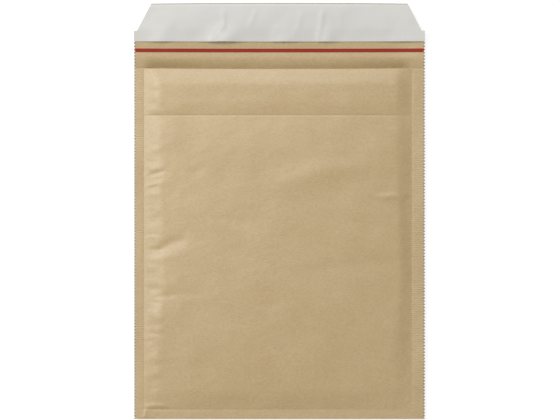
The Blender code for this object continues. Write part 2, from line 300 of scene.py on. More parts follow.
def wrinkle(x, y, start, end, height, width):
    """A ridge, or a valley if its height is below 0, along a line that fades at both its ends."""
    along = Vector(end) - Vector(start)
    share = ((x - start[0]) * along.x + (y - start[1]) * along.y) / along.length_squared
    aside = ((x - start[0]) * along.y - (y - start[1]) * along.x) / along.length
    sway = 0.12 * width
    bow = sway * np.sin(3 * math.pi * share)
    ends = smooth(share, -0.15, 0.2) * (1 - smooth(share, 0.75, 1.15))
    return height * ends * hump(aside - bow, width)


def wrinkles(x, y, table):
    total = np.zeros(np.broadcast(x, y).shape)
    for left, low, right, high, height, width in table:
        ends = (left * MM, low * MM), (right * MM, high * MM)
        total = total + wrinkle(x, y, *ends, height * MM, width * MM)
    return total


def waves(x, y, seed, longest, shortest, count, spread=math.pi):
    """Waves of about height 1, the longest ones highest. Their crests run across, give or take the spread."""
    rng = np.random.default_rng(seed)
    total = np.zeros(np.broadcast(x, y).shape)
    power = 0.0
    for turn in range(count):
        size = longest * (shortest / longest) ** (turn / max(1, count - 1))
        angle = math.pi / 2 + rng.uniform(-spread / 2, spread / 2)
        phase = rng.uniform(0, 2 * math.pi)
        reach = (x * math.cos(angle) + y * math.sin(angle)) / size
        total = total + size / longest * np.sin(2 * math.pi * reach + phase)
        power += (size / longest) ** 2 / 2
    return total / math.sqrt(power)


def laid_clear(level, x, y, reach, up):
    """Level and slopes of a flat patch on a face, laid clear of the wrinkles within its reach."""
    angles = np.arange(8) * math.pi / 4
    rings = (reach / 3, 2 * reach / 3, reach)
    rim_x = np.concatenate([[0.0], *(ring * np.cos(angles) for ring in rings)])
    rim_y = np.concatenate([[0.0], *(ring * np.sin(angles) for ring in rings)])
    face = level(np.add.outer(x, rim_x), np.add.outer(y, rim_y))
    slope_x = (face * rim_x).sum(axis=-1) / (rim_x**2).sum()
    slope_y = (face * rim_y).sum(axis=-1) / (rim_y**2).sum()
    patch = face[..., :1] + np.multiply.outer(slope_x, rim_x) + np.multiply.outer(slope_y, rim_y)
    proud = (up * (face - patch)).max(axis=-1)
    return face[..., 0] + up * proud, slope_x, slope_y


class Form:
    """Levels of every ply over the surface below."""

    def __init__(self, scene):
        self.sizes = scene.envelope_sizes
        self.trim = scene.envelope_trim
        sizes = self.sizes
        self.mouth_y = FOOT_Y + sizes.pouch
        self.left_x = sizes.left_seam - HALF_WIDTH
        self.right_x = HALF_WIDTH - sizes.right_seam
        self.left_end = self.left_x + sizes.left_shoulder
        self.right_end = self.right_x - sizes.right_shoulder
        self.pad_y = FOOT_Y + sizes.foot_strip
        self.hem_y = self.mouth_y - sizes.hem
        self.step_y = TIP_Y - self.trim.step_to_tip
        self.fold_y = FOOT_Y + KRAFT / 2 + SEAM_STEP
        self.roll_radius = (sizes.wall - sizes.lip_drop + 2 * PLY_STEP) / 2
        self.lining_mouth_y = self.mouth_y - KRAFT / 2 - self.roll_radius

    def sides(self, x, y):
        """Rise beside the side seams, whose width wanders along the pouch."""
        wander = 0.08 * waves(x * 0, y, self.trim.seed + 6, *WANDER_WAVES)
        left = shoulder((x - self.left_x) * (1 + wander), self.sizes.left_shoulder)
        return left * shoulder((self.right_x - x) * (1 - wander), self.sizes.right_shoulder)

    def foot(self, y):
        return swell(y - self.pad_y, self.sizes.foot_shoulder)

    def padding(self, x, y):
        """How far the padding is open: 0 in the seams, 1 past the shoulders."""
        return self.sides(x, y) * self.foot(y)

    def across(self, x):
        """Place between the side seams, from -1 at the left to 1 at the right."""
        return (2 * x - self.left_x - self.right_x) / (self.right_x - self.left_x)

    def pillow(self, x, y):
        """Share of the front's rise: shoulders beside the seams and a crown between them."""
        sizes = self.sizes
        reach = np.where(y < sizes.crown_y, sizes.crown_y - self.pad_y, sizes.crown_reach)
        crown_x = np.clip(1 - self.across(x) ** 2, 0, 1)
        crown_y = np.clip(1 - ((y - sizes.crown_y) / reach) ** 2, 0, 1)
        near_mouth = smooth(y, self.hem_y - 20 * MM, self.mouth_y - 10 * MM)
        stiff = mix(sizes.shoulder_share, sizes.mouth_share, near_mouth)
        width_share = mix(crown_x, self.sides(x, y), stiff)
        return width_share * mix(crown_y, self.foot(y), sizes.foot_share)

    def margin(self, x, y):
        """Waves of the sealed edges, in which all plies go together."""
        out_left = smooth(self.left_x - x, 0, self.sizes.left_seam)
        out_right = smooth(x - self.right_x, 0, self.sizes.right_seam)
        left = waves(x * 0, y, self.trim.seed, *MARGIN_WAVES)
        right = waves(x * 0, y, self.trim.seed + 5, *MARGIN_WAVES)
        return self.trim.margin_wave * (out_left * left + out_right * right)

    def dent(self, y):
        """Depth of the valley over the edge of the hem."""
        sizes = self.sizes
        sharpness = 1.6
        reach = np.where(y > self.hem_y, sizes.dent_above, sizes.dent_below)
        return sizes.hem_dent * np.clip(1 - np.abs(y - self.hem_y) / reach, 0, 1) ** sharpness

    def lip(self, y):
        """Fall of the front panel to the mouth: a bend into a slope, then a rounded edge."""
        sizes = self.sizes
        bend = 0.25
        share = np.clip((y - self.mouth_y + sizes.lip_reach) / sizes.lip_reach, 0, None)
        slope = (np.sqrt(share**2 + bend**2) - bend) / (math.hypot(1, bend) - bend)
        edge = smooth(y, self.mouth_y - 3.5 * MM, self.mouth_y + 2 * MM)
        return sizes.lip_drop * slope + sizes.lip_edge * edge

    def curl(self, x):
        """Rise of the flap's ends, with which they meet the seams."""
        steepness = 2.5
        return self.sizes.flap_curl * np.clip(np.abs(x) / HALF_WIDTH, 0, 1) ** steepness

    def back(self, x, y):
        """Middle of the back panel's paper."""
        seam = self.sizes.seam_level - SEAM_STEP
        level = mix(seam, PAPER_LEVEL, self.padding(x, y))
        corner = hump(np.abs(x) - self.right_x + 5 * MM, 8 * MM)
        hollow = self.sizes.corner_hollow * corner * smooth(y, self.mouth_y - 25 * MM, self.mouth_y)
        return np.maximum(level - hollow, PAPER_LEVEL) + self.margin(x, y)

    def open_front(self, x, y):
        rise = self.sizes.front_rise * self.pillow(x, y)
        return self.sizes.seam_level + SEAM_STEP + rise + self.margin(x, y)

    def front(self, x, y):
        """Middle of the front panel's paper, with its wrinkles."""
        padding = self.padding(x, y)
        fallen = (self.dent(y) + self.lip(y)) * padding
        return self.open_front(x, y) - fallen + self.relief(x, y) - self.groove(x, y)

    def middle(self, x, y):
        """Halfway between the two panels."""
        return (self.back(x, y) + self.front(x, y)) / 2

    def relief(self, x, y):
        """Wrinkles and waves of the front panel."""
        trim = self.trim
        calm = smooth(self.mouth_y - y, 4 * MM, 30 * MM) * smooth(self.padding(x, y), 0.0, 0.5)
        broad = waves(x, y, trim.seed + 1, *BROAD_WAVES)
        fine = waves(x, y, trim.seed + 2, *FINE_WAVES)
        fine_share = 0.16
        cockle = trim.cockle * (broad + fine_share * fine)
        folds = waves(x, y, trim.seed + 7, *CRUMPLE_WAVES, spread=0.9)
        at_left = hump(x - self.left_x - 9 * MM, 8 * MM)
        at_right = hump(self.right_x - x - 8 * MM, 7 * MM)
        right_share = 0.4
        crumple = trim.crumple * folds * (at_left + right_share * at_right)
        pressed = trim.wrinkles * wrinkles(x, y, CORNER_WRINKLES)
        return calm * (trim.wrinkles * wrinkles(x, y, FRONT_WRINKLES) + cockle + crumple) + pressed

    def groove(self, x, y):
        """Pressed line where each seam ends, and where the hem's edge shows through."""
        width = 0.7 * MM
        depth = 0.16 * MM
        right_share = 0.5
        foot_share = 0.4
        inside = smooth(y - self.pad_y, -2 * MM, MM)
        line = hump(x - self.left_x, width) + right_share * hump(x - self.right_x, width)
        below = hump(y - self.pad_y, width) * foot_share * smooth(x, 30 * MM, -100 * MM)
        crease = hump(y - self.hem_y, width) * smooth(self.right_x - x, 2 * MM, 8 * MM)
        return depth * (line * inside + below + crease * smooth(x - self.left_x, -MM, MM))

    def drawn(self, x, y):
        """Place along the pouch of a point on the front, which the padding draws in from the mouth."""
        arch = np.clip(1 - self.across(x) ** 2, 0, 1)
        return y - self.sizes.mouth_bow * arch * smooth(y, self.mouth_y - 30 * MM, self.mouth_y)

    def wall(self, x, y):
        return mix(WELDED_FILM / 2, self.sizes.wall, self.padding(x, y))

    def floor(self, x, y):
        """Inner face of the lining's back wall."""
        return self.back(x, y) + PLY_STEP + self.wall(x, y)

    def roof(self, x, y):
        """Inner face of the lining's front wall."""
        return self.open_front(x, y) - PLY_STEP - self.wall(x, y)

    def hem(self, x, y):
        """Middle of the hem's paper."""
        share = np.clip(self.padding(x, y) * 3, 0, 1)
        return self.roof(x, y) - PLY_STEP * share

    def flap(self, x, y):
        """Middle of the flap's paper."""
        sizes = self.sizes
        risen = swell(y - self.mouth_y, sizes.flap_dip)
        fallen = sizes.flap_droop * np.clip((y - LINER_Y) / (TIP_Y - LINER_Y), 0, None) ** 2
        curl = self.curl(x) * (1 - smooth(y, self.mouth_y + 12 * MM, TIP_Y))
        seam = self.back(x, np.full_like(y, self.mouth_y))
        puckers = sum(
            height * MM * hump(x / MM - across, width) * hump(y / MM - along, width)
            for across, along, height, width in FLAP_PUCKERS
        )
        ripple_height = 0.10 * MM
        ripple = ripple_height * waves(x, y, self.trim.seed + 3, *FLAP_WAVES) * risen
        fold = sizes.flap_fold * smooth(y, TAPE_HEAD_Y - 2 * MM, LINER_Y + MM)
        ease = sizes.liner_rise * smooth(y, LINER_Y - MM, LINER_Y + 14 * MM)
        level = mix(seam, PAPER_LEVEL + curl, smooth(y, self.mouth_y, self.mouth_y + 11 * MM))
        return level + sizes.flap_rise * risen + fold + ease - fallen + puckers + ripple

    def liner(self, x, y):
        """Middle of the release liner."""
        edge_rise = 0.3 * MM
        body_rise = 0.35 * MM
        ripple_height = 0.05 * MM
        hem = edge_rise * hump(y - LINER_Y, 5 * MM)
        above = PLY_STEP + body_rise * smooth(TIP_Y - y, 0.0, 3.5 * MM) + hem
        edge = hump(y - LINER_Y, 11 * MM)
        lift = sum(height * MM * hump(x / MM - place, width) for place, width, height in LINER_LIFTS)
        ripple = ripple_height * waves(x, y, self.trim.seed + 4, *LINER_WAVES)
        tip = smooth(TIP_Y - y, 0, 12 * MM)
        return self.flap(x, y) + above + tip * (wrinkles(x, y, LINER_WRINKLES) + ripple) + edge * lift

    def half_width(self, y):
        """Half the width of the die's outline, with the teeth at their tips."""
        trim = self.trim
        if y <= LINER_Y:
            return HALF_WIDTH
        if y <= self.step_y:
            return HALF_WIDTH - trim.flap_cut
        return HALF_WIDTH - mix(trim.step_in, trim.corner_in, (y - self.step_y) / trim.step_to_tip)

    def tooth_rows(self, low, high):
        """Places along the pouch between two others where a tooth has its root or its tip."""
        half_pitch = self.trim.tooth_pitch / 2
        first = math.ceil((LINER_Y - high) / half_pitch)
        last = math.floor((LINER_Y - low) / half_pitch)
        return [LINER_Y - half_pitch * place for place in range(last, first - 1, -1)]

    def columns(self):
        """Places across the sheet, close together where it bends."""
        near = 0.5 * MM
        inner = HALF_WIDTH - self.trim.tooth_depth - near
        wrinkled = self.left_end + 24 * MM
        parts = [
            [-HALF_WIDTH],
            even(-inner, self.left_x - 2 * near, 2.6 * MM),
            [self.left_x - near, self.left_x, self.left_x + near],
            even(self.left_x + 3 * near, wrinkled, 2.35 * MM),
            even(wrinkled, self.right_end, 4.9 * MM)[1:],
            even(self.right_end, self.right_x - 3 * near, 2.6 * MM)[1:],
            [self.right_x - near, self.right_x, self.right_x + near],
            even(self.right_x + 2 * near, inner, 2.6 * MM),
            [HALF_WIDTH],
        ]
        return [place for part in parts for place in part]


def merged(*lists):
    """One rising list of values, without those that lie closer together than the paper is thick."""
    kept = []
    for value in sorted(value for values in lists for value in values):
        if not kept or value - kept[-1] > KRAFT / 2:
            kept.append(value)
    return kept


# Meshes


def link(name, mesh):
    made = bpy.data.objects.new(name, mesh)
    bpy.context.scene.collection.objects.link(made)
    return made


def sheet_mesh(name, rows):
    """A mesh from rows of points, each an array of (x, y, z)."""
    points = np.array(rows)
    count, across = points.shape[:2]
    index = np.arange(count * across).reshape(count, across)
    corners = (index[:-1, :-1], index[:-1, 1:], index[1:, 1:], index[1:, :-1])
    faces = np.stack(corners, axis=-1).reshape(-1, 4)
    mesh = bpy.data.meshes.new(name)
    mesh.from_pydata(points.reshape(-1, 3).tolist(), [], faces.tolist())
    return mesh


def give_values(mesh, name, values):
    attribute = mesh.attributes.new(name, "FLOAT", "POINT")
    attribute.data.foreach_set("value", np.asarray(values, dtype=np.float32).ravel())


def node_modifier(made, tree, **values):
    """Runs a Geometry Nodes tree on an object, with the values of the tree's inputs."""
    modifier = made.modifiers.new(tree.name, "NODES")
    modifier.node_group = tree
    sockets = {item.name: item.identifier for item in tree.interface.items_tree if item.in_out == "INPUT"}
    for name, value in values.items():
        modifier[sockets[name.replace("_", " ")]] = value


def thicken(made, thickness):
    solidify = made.modifiers.new("thickness", "SOLIDIFY")
    solidify.thickness = thickness
    solidify.offset = 0.0


def settle(made, name):
    """Turns an object and its modifiers into one plain mesh, smooth apart from its cut edges."""
    evaluated = made.evaluated_get(bpy.context.evaluated_depsgraph_get())
    mesh = bpy.data.meshes.new_from_object(evaluated)
    mesh.name = name
    old = made.data
    made.modifiers.clear()
    made.data = mesh
    made.name = name
    bpy.data.meshes.remove(old)
    mesh.shade_smooth()
    mesh.set_sharp_from_angle(angle=SHARP_EDGE)
    return made


def face_up(mesh):
    """Turns a flat-lying open sheet's faces to +Z."""
    total = sum(polygon.normal.z * polygon.area for polygon in mesh.polygons)
    if total < 0:
        mesh.flip_normals()


def face_out(mesh, weld=0.0):
    """Turns a mesh's faces outwards, once its points within the weld are merged."""
    edited = bmesh.new()
    edited.from_mesh(mesh)
    if weld:
        bmesh.ops.remove_doubles(edited, verts=edited.verts[:], dist=weld)
    bmesh.ops.recalc_face_normals(edited, faces=edited.faces[:])
    edited.to_mesh(mesh)
    edited.free()


def plug(tree, node, inputs):
    """Gives each input a plain value, an output, or the first output of a whole node."""
    for place, value in inputs.items():
        if isinstance(value, bpy.types.Node):
            value = value.outputs[0]
        if isinstance(value, bpy.types.NodeSocket):
            tree.links.new(value, node.inputs[place])
        else:
            node.inputs[place].default_value = value


def add_node(tree, kind, inputs=None, **settings):
    """Adds a node with its settings and plugs its inputs."""
    made = tree.nodes.new(kind)
    for name, value in settings.items():
        setattr(made, name, value)
    plug(tree, made, inputs or {})
    return made


def new_tree(name, inputs):
    """A Geometry Nodes tree with named inputs, each a (name, kind, default)."""
    tree = bpy.data.node_groups.new(name, "GeometryNodeTree")
    tree.interface.new_socket("Geometry", in_out="INPUT", socket_type="NodeSocketGeometry")
    for label, kind, default in inputs:
        socket = tree.interface.new_socket(label, in_out="INPUT", socket_type=f"NodeSocket{kind}")
        if default is not None:
            socket.default_value = default
    tree.interface.new_socket("Geometry", in_out="OUTPUT", socket_type="NodeSocketGeometry")
    start = add_node(tree, "NodeGroupInput")
    return tree, start.outputs


def end_tree(tree, geometry, material):
    real = add_node(tree, "GeometryNodeRealizeInstances", {"Geometry": geometry})
    painted = add_node(tree, "GeometryNodeSetMaterial", {"Geometry": real, "Material": material})
    add_node(tree, "NodeGroupOutput", {"Geometry": painted})
    return tree


def pinking_tree():
    """Cuts teeth into the side edges, which carry the attribute side: -1 at the left, 1 at the right."""
    sizes = (("Pitch", "Float", 3.06 * MM), ("Depth", "Float", 1.6 * MM), ("First Root", "Float", 0.0))
    tree, given = new_tree("pinked_edges", (*sizes, ("Material", "Material", None)))
    place = add_node(tree, "GeometryNodeInputPosition")
    along = add_node(tree, "ShaderNodeSeparateXYZ", {0: place}).outputs["Y"]
    below = add_node(tree, "ShaderNodeMath", {0: given["First Root"], 1: along}, operation="SUBTRACT")
    half = add_node(tree, "ShaderNodeMath", {0: given["Pitch"], 1: 2.0}, operation="DIVIDE")
    swing = add_node(tree, "ShaderNodeMath", {0: below, 1: half}, operation="PINGPONG")
    share = add_node(tree, "ShaderNodeMath", {0: swing, 1: half}, operation="DIVIDE")
    root = add_node(tree, "ShaderNodeMath", {0: 1.0, 1: share}, operation="SUBTRACT")
    inwards = add_node(tree, "ShaderNodeMath", {0: root, 1: given["Depth"]}, operation="MULTIPLY")
    side = add_node(tree, "GeometryNodeInputNamedAttribute", {"Name": "side"}, data_type="FLOAT")
    shift = add_node(tree, "ShaderNodeMath", {0: inwards, 1: side}, operation="MULTIPLY")
    turned = add_node(tree, "ShaderNodeMath", {0: shift, 1: -1.0}, operation="MULTIPLY")
    offset = add_node(tree, "ShaderNodeCombineXYZ", {"X": turned})
    cut = add_node(tree, "GeometryNodeSetPosition", {"Geometry": given["Geometry"], "Offset": offset})
    return end_tree(tree, cut, given["Material"])


def bubble_tree():
    """Stands an air bubble on each point of the input, as high as the point's attribute height."""
    inputs = (("Film", "Object", None), ("Width", "Float", 9.5 * MM), ("Material", "Material", None))
    tree, given = new_tree("air_bubbles", inputs)
    ball = add_node(tree, "GeometryNodeMeshUVSphere", {"Segments": 8, "Rings": 6, "Radius": 0.5})
    place = add_node(tree, "GeometryNodeInputPosition")
    parts = add_node(tree, "ShaderNodeSeparateXYZ", {0: place}).outputs
    # The upper half is drawn out until its top is flat, and the lower half lies in the base
    steepness = 2.6
    above = add_node(tree, "ShaderNodeMath", {0: parts["Z"], 1: 0.0}, operation="MAXIMUM")
    full = add_node(tree, "ShaderNodeMath", {0: above, 1: steepness}, operation="MULTIPLY")
    flat = add_node(tree, "ShaderNodeMath", {0: full, 1: 1.0}, operation="MINIMUM")
    domed = add_node(tree, "ShaderNodeCombineXYZ", {"X": parts["X"], "Y": parts["Y"], "Z": flat})
    dome = add_node(tree, "GeometryNodeSetPosition", {"Geometry": ball, "Position": domed})
    kept = {}
    for name in BUBBLE_VALUES:
        kept[name] = add_node(tree, "GeometryNodeInputNamedAttribute", {"Name": name}, data_type="FLOAT")
    size = {"X": given["Width"], "Y": given["Width"], "Z": kept["height"]}
    scale = add_node(tree, "ShaderNodeCombineXYZ", size)
    stand = add_node(tree, "ShaderNodeCombineXYZ", {axis: kept[f"stand_{axis.lower()}"] for axis in "XYZ"})
    turned = add_node(tree, "FunctionNodeAlignRotationToVector", {"Vector": stand}, axis="Z")
    placed = {"Points": given["Geometry"], "Instance": dome, "Rotation": turned, "Scale": scale}
    stood = add_node(tree, "GeometryNodeInstanceOnPoints", placed)
    film = add_node(tree, "GeometryNodeObjectInfo", {"Object": given["Film"]})
    both = add_node(tree, "GeometryNodeJoinGeometry", {0: stood})
    plug(tree, both, {0: film.outputs["Geometry"]})
    return end_tree(tree, both, given["Material"])


# Finishes


def new_material(name):
    made = bpy.data.materials.new(name)
    made.use_nodes = True
    return made, made.node_tree, made.node_tree.nodes["Principled BSDF"]


def ridges(tree, place, pitch):
    """Even ridges that run across, from -1 in their valleys to 1."""
    along = add_node(tree, "ShaderNodeSeparateXYZ", {0: place}).outputs["Y"]
    turn = add_node(tree, "ShaderNodeMath", {0: along, 1: 2 * math.pi / pitch}, operation="MULTIPLY")
    return add_node(tree, "ShaderNodeMath", {0: turn}, operation="SINE")


def vary(tree, shader, pattern, shade, spread):
    """Lets a pattern lighten and darken a colour by the spread, and stand 0.03 mm high."""
    inputs = {"Value": pattern, "To Min": 1 - spread, "To Max": 1 + spread}
    value = add_node(tree, "ShaderNodeMapRange", inputs)
    tone = add_node(tree, "ShaderNodeHueSaturation", {"Color": (*shade, 1), "Value": value})
    bumped = add_node(tree, "ShaderNodeBump", {"Height": pattern, "Distance": 0.03 * MM, "Strength": 0.5})
    plug(tree, shader, {"Base Color": tone, "Normal": bumped})


def kraft_paper(colours):
    """Machine-finished brown kraft: matt, with cloudy short fibres lying across and a few bark specks."""
    made, tree, shader = new_material("machine_finished_kraft_paper")
    place = add_node(tree, "ShaderNodeTexCoord").outputs["Object"]
    # Real fibres are 0.03 mm wide: the streaks are drawn at 0.8 mm so that they show
    streak = (2.6, 0.8, 1.5)
    # Each pattern's size in millimetres, scale, detail and roughness. The web has dried unevenly and
    # cockles every 7 mm or so.
    patterns = {
        "fibres": (streak, 1.0, 3.0, 0.6),
        "fine": (streak, 1.7, 4.0, 0.65),
        "clouds": ((19, 13, 14), 1.0, 4.0, 0.75),
        "cockles": ((8.5, 6.5, 7), 1.0, 1.5, 0.5),
    }
    noise = {}
    for name, (size, scale, detail, roughness) in patterns.items():
        inputs = {"Vector": place, "Scale": [1 / (side * MM) for side in size]}
        sized = add_node(tree, "ShaderNodeMapping", inputs)
        inputs = {"Vector": sized, "Scale": scale, "Detail": detail, "Roughness": roughness}
        noise[name] = add_node(tree, "ShaderNodeTexNoise", inputs)
    # Bark specks up to 0.7 mm across, in two of five squares of 3.2 mm
    inputs = {"Vector": place, "Scale": 1 / (3.2 * MM), "Randomness": 1.0}
    cells = add_node(tree, "ShaderNodeTexVoronoi", inputs).outputs
    chosen = add_node(tree, "ShaderNodeSeparateColor", {0: cells["Color"]})
    few = add_node(tree, "ShaderNodeMath", {0: chosen, 1: 0.62}, operation="GREATER_THAN")
    patches = add_node(tree, "ShaderNodeTexNoise", {"Vector": place, "Scale": 1 / (45 * MM), "Detail": 1.0})
    cut = add_node(tree, "ShaderNodeAttribute", attribute_name="cut").outputs["Fac"]
    seal = add_node(tree, "ShaderNodeAttribute", attribute_name="seal").outputs["Fac"]
    # Each share's pattern, where that starts and is full, and the share at both
    ranges = {
        "cloudy": (noise["clouds"], 0.35, 0.65, 0.0, 0.40),
        "pale": (noise["fibres"], 0.42, 0.75, 0.0, 0.55),
        "dark": (noise["fibres"], 0.55, 0.25, 0.0, 0.5),
        "speck": (cells["Distance"], 0.11, 0.05, 0.0, 0.55),
        # Painted shade along the cut edges
        "edge_shade": (cut, 0.12, 0.5, 0.0, 1.0),
        "pressed": (patches, 0.4, 0.62, 0.12, 1.0),
    }
    share = {}
    for name, (pattern, start, full, low, high) in ranges.items():
        inputs = {"Value": pattern, "From Min": start, "From Max": full, "To Min": low, "To Max": high}
        share[name] = add_node(tree, "ShaderNodeMapRange", inputs)
    specks = add_node(tree, "ShaderNodeMath", {0: share["speck"], 1: few}, operation="MULTIPLY")
    # Shades, each laid over those before it. The last is painted shade: it darkens the tips of the teeth for
    # 1 mm, where their bent cut edges fall into shade.
    layers = (
        (share["cloudy"], colours.kraft_light),
        (share["pale"], colours.kraft_light),
        (share["dark"], colours.kraft_dark),
        (specks, colours.speck),
        (share["edge_shade"], colours.edge_shade_colour),
    )
    tone = (*colours.kraft, 1)
    for amount, shade in layers:
        inputs = {"Factor": amount, 6: tone, 7: (*shade, 1)}
        tone = add_node(tree, "ShaderNodeMix", inputs, data_type="RGBA").outputs[2]
    # Ribs of the sealing bar run across the seams every 2.1 mm, pressed harder in some patches
    held = add_node(tree, "ShaderNodeMath", {0: share["pressed"], 1: seal}, operation="MULTIPLY")
    ribs = add_node(tree, "ShaderNodeMath", {0: ridges(tree, place, 2.1 * MM), 1: held}, operation="MULTIPLY")
    # Patterns that stand up from the paper, with their height in millimetres and strength
    reliefs = ((ribs, 0.06, 1.0), (noise["cockles"], 0.25, 1.0), (noise["fine"], 0.08, 0.6))
    normal = {}
    for pattern, height, strength in reliefs:
        inputs = {"Height": pattern, "Distance": height * MM, "Strength": strength, **normal}
        normal = {"Normal": add_node(tree, "ShaderNodeBump", inputs)}
    plug(tree, shader, {"Base Color": tone, "Roughness": 0.48, "Specular IOR Level": 1.0, **normal})
    return made


def bubble_film(colours):
    """Clear low-density polyethylene: thin, slightly milky and glossy, so bubbles catch the light."""
    made, tree, shader = new_material("clear_polyethylene_film")
    place = add_node(tree, "ShaderNodeTexCoord").outputs["Object"]
    haze = add_node(tree, "ShaderNodeTexNoise", {"Vector": place, "Scale": 1 / (6 * MM), "Detail": 2.0})
    rough = add_node(tree, "ShaderNodeMapRange", {"Value": haze, "To Min": 0.16, "To Max": 0.30})
    plug(tree, shader, {"Base Color": (*colours.film, 1), "Roughness": rough, "IOR": 1.51, "Alpha": 0.45})
    return made


def tear_tape(colours):
    """Red polypropylene film tape: smooth, with a low gloss and faint lengthwise streaks."""
    made, tree, shader = new_material("red_polypropylene_tape")
    place = add_node(tree, "ShaderNodeTexCoord").outputs["Object"]
    streak = (1 / (12 * MM), 1 / (0.6 * MM), 1 / MM)
    stretched = add_node(tree, "ShaderNodeMapping", {"Vector": place, "Scale": streak})
    streaks = add_node(tree, "ShaderNodeTexNoise", {"Vector": stretched, "Scale": 1.0, "Detail": 3.0})
    vary(tree, shader, streaks, colours.tape, 0.1)
    plug(tree, shader, {"Roughness": 0.5, "Specular IOR Level": 0.2})
    return made


def hot_melt(colours):
    """Hot-melt adhesive, combed on: amber, tacky and glossy, with fine ridges along the strip."""
    made, tree, shader = new_material("combed_hot_melt")
    place = add_node(tree, "ShaderNodeTexCoord").outputs["Object"]
    comb = ridges(tree, place, BEAD_PITCH)
    bumped = add_node(tree, "ShaderNodeBump", {"Height": comb, "Distance": 0.04 * MM, "Strength": 1.0})
    plug(tree, shader, {"Base Color": (*colours.adhesive, 1), "Roughness": 0.22, "Normal": bumped})
    return made


def release_paper(colours):
    """Siliconised glassine: pale grey, dense and even, with a satin sheen that shows each fold."""
    made, tree, shader = new_material("siliconised_glassine")
    place = add_node(tree, "ShaderNodeTexCoord").outputs["Object"]
    inputs = {"Vector": place, "Scale": 1 / (2.5 * MM), "Detail": 4.0, "Roughness": 0.6}
    vary(tree, shader, add_node(tree, "ShaderNodeTexNoise", inputs), colours.liner, 0.025)
    plug(tree, shader, {"Roughness": 0.42})
    return made


# Pieces


def at(level, x, y):
    """The level of a row of points that all lie at the same place along the pouch."""
    return level(x, np.full_like(x, y))


def edge_rows(form, rows):
    """Rows of points of the trimmed sheet, and which points are on its pinked edges."""
    points = []
    sides = []
    columns = np.array(form.columns())
    for along, place in rows:
        half = form.half_width(along) if along is not None else HALF_WIDTH
        x = columns * half / HALF_WIDTH
        y, z = place(x)
        points.append(np.column_stack([x, y + 0 * x, z + 0 * x]))
        edge = np.zeros(len(x))
        if half == HALF_WIDTH:
            edge[0], edge[-1] = -1, 1
        sides.append(edge)
    return points, np.array(sides)


def bowed(form, x, y):
    """The flap's rows follow the bow of its tip."""
    share = np.clip((y - TIP_Y + form.trim.step_to_tip) / form.trim.step_to_tip, 0, 1)
    corner = HALF_WIDTH - form.trim.corner_in
    return y - form.trim.tip_bow * share * (x / corner) ** 2


def kraft_rows(form):
    """The folded sheet's rows, from the flap's tip round to the hem's edge."""
    upper = merged(even(LINER_Y + HAIR, form.step_y, 2 * MM), even(form.step_y + HAIR, TIP_Y, 2 * MM))
    upper = sorted(upper + [form.step_y + HAIR])
    lower = merged(form.tooth_rows(form.mouth_y, LINER_Y), [form.mouth_y, form.mouth_y + MM])
    rows = []
    for y in reversed(lower + upper):
        rows.append((y, lambda x, y=y: (bowed(form, x, y), at(form.flap, x, y))))
    for y in reversed(form.tooth_rows(form.fold_y + MM / 2, form.mouth_y - MM / 2)):
        rows.append((None, lambda x, y=y: (y, at(form.back, x, y))))
    turns = 10
    for step in range(turns + 1):
        angle = -math.pi / 2 - math.pi * step / turns

        def folded(x, angle=angle):
            along = form.fold_y + SEAM_STEP * math.cos(angle)
            level = form.sizes.seam_level + SEAM_STEP * math.sin(angle)
            return along, level + at(form.margin, x, form.fold_y)

        rows.append((None, folded))
    crease = [form.hem_y + share * MM for share in (-1.4, -0.7, -0.35, 0, 0.35, 0.7, 1.4)]
    foot = [form.pad_y + share * MM for share in (-1.2, -0.6, 0, 0.6, 1.2, 1.8)]
    front = merged(form.tooth_rows(form.fold_y + MM / 2, form.lining_mouth_y - MM / 2), crease, foot)
    for y in front:
        rows.append((None, lambda x, y=y: (form.drawn(x, y), at(form.front, x, y))))
    for step in range(turns + 1):
        angle = math.pi / 2 - math.pi * step / turns

        def rolled(x, angle=angle):
            top = at(form.front, x, form.lining_mouth_y)
            radius = (top - at(form.hem, x, form.lining_mouth_y)) / 2
            middle = form.drawn(x, form.mouth_y) - KRAFT / 2 - radius
            return middle + radius * math.cos(angle), top - radius + radius * math.sin(angle)

        rows.append((None, rolled))
    hem = merged(form.tooth_rows(form.hem_y, form.lining_mouth_y - MM / 2), [form.hem_y])
    for y in reversed(hem):
        rows.append((None, lambda x, y=y: (form.drawn(x, y), at(form.hem, x, y))))
    return rows


def own(made, node):
    """The piece rides on the body and stands for its node, whose part it hides."""
    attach(made, "root")
    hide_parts(node)


def pinked(mesh, sides, trim, material, thickness):
    """Cuts the teeth into a trimmed sheet's side edges and gives it its thickness."""
    name = mesh.name
    give_values(mesh, "side", sides)
    made = link(name, mesh)
    sizes = {"Pitch": trim.tooth_pitch, "Depth": trim.tooth_depth, "First_Root": LINER_Y}
    node_modifier(made, pinking_tree(), **sizes, Material=material)
    settle(made, name)
    thicken(made, thickness)
    return settle(made, name)


def strip(name, rows, material, thickness):
    """A thin strip from rows of points, with its face up."""
    mesh = sheet_mesh(name, rows)
    face_up(mesh)
    mesh.materials.append(material)
    made = link(name, mesh)
    thicken(made, thickness)
    return settle(made, name)


